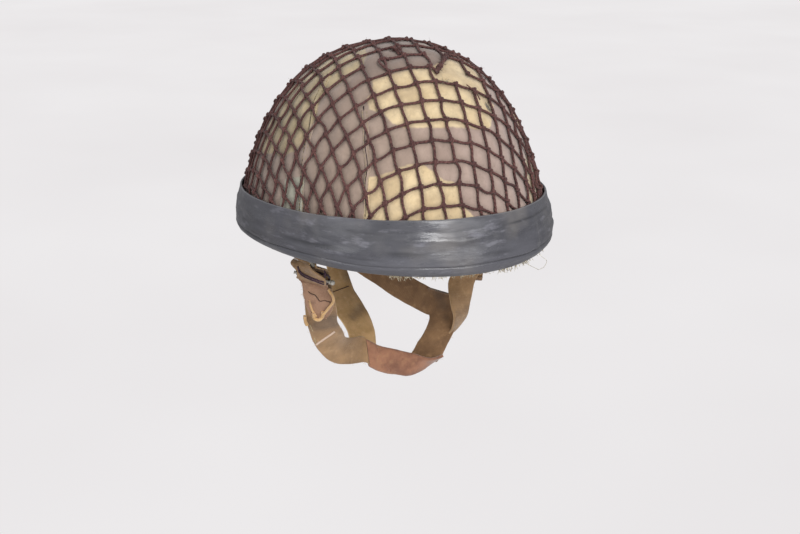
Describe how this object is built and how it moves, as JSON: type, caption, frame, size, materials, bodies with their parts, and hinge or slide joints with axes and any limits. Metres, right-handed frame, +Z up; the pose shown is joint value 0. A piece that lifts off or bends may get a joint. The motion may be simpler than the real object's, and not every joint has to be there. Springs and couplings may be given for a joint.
{
  "type": "paratrooper helmet",
  "caption": "Steel airborne helmet with camouflage cloth cover, knotted string net, rubber rim band, padded liner and three-point webbing chin harness with a wire slider",
  "frame": {"origin": "centre of the head opening, in the plane of the front and rear rim", "axes": "+X the wearer's front, +Y the wearer's left, +Z up to the crown"},
  "size_m": [0.2959, 0.2501, 0.3104],
  "materials": {
    "steel": "matt olive paint",
    "binding": "matt olive paint, worn",
    "cloth": "printed camouflage cotton, faded",
    "net": "brown knotted string",
    "band": "grey inner-tube rubber, creased",
    "hardware": "dull plated steel",
    "fibre": "dark vulcanised fibre",
    "leather": "brown leather",
    "tongue": "thin brown leather",
    "lace": "cotton lace",
    "cradle": "dark woven tape",
    "foam": "sorbo rubber",
    "brass": "dull brass",
    "webbing": "khaki cotton webbing",
    "webbing_end": "khaki webbing with a bound edge",
    "slider": "dark wire",
    "ball": "worn bright steel",
    "chamois": "soft suede leather"
  },
  "bodies": {
    "helmet": {"steel_shell": "steel", "rim_binding": "binding", "cloth_cover": "cloth", "string_net": "net", "rubber_band": "band", "crown_screw": "hardware", "crown_nut": "hardware", "buffer_pads": "foam", "fibre_band": "fibre", "leather_headband": "leather", "headband_tongues": "tongue", "tongue_lace": "lace", "cradle_strap_fore": "cradle", "cradle_strap_cross": "cradle", "crown_pad": "foam", "liner_rivets": "brass", "lug_bolts": "hardware", "lug_nuts": "hardware", "nape_lug": "hardware", "nape_ring": "hardware", "nape_tab": "webbing"},
    "harness": {"right_lug": "hardware", "left_lug": "hardware", "right_ring": "hardware", "left_ring": "hardware", "right_side_strap": "webbing", "right_strap_fold": "webbing", "chin_strap": "webbing", "chin_leather": "chamois", "left_jaw_strap": "webbing", "left_side_strap": "webbing", "left_strap_roll": "webbing", "left_nape_strap": "webbing", "right_nape_strap": "webbing"},
    "slider": {"slider_frame": "slider", "slider_bar": "ball"},
    "strap_tip": {"strap_end": "webbing_end"}
  },
  "joints": [
    {"name": "harness_swing", "type": "hinge", "parent": "helmet", "child": "harness", "pos_m": [0.02, 0, 0.012], "axis": [0, 1, 0], "range_deg": [0, 30], "deforming": ["left_nape_strap", "right_nape_strap"]},
    {"name": "slider_slide", "type": "slide", "parent": "harness", "child": "slider", "axis": [-0.2483, 0.331, -0.9104], "range_m": [-0.002, 0.01], "deforming": ["right_strap_fold"]},
    {"name": "strap_end_lift", "type": "hinge", "parent": "slider", "child": "strap_tip", "pos_m": [0.01891, -0.08986, -0.02546], "axis": [-0.7154, -0.6671, 0.2079], "range_deg": [0, 60]}
  ]
}
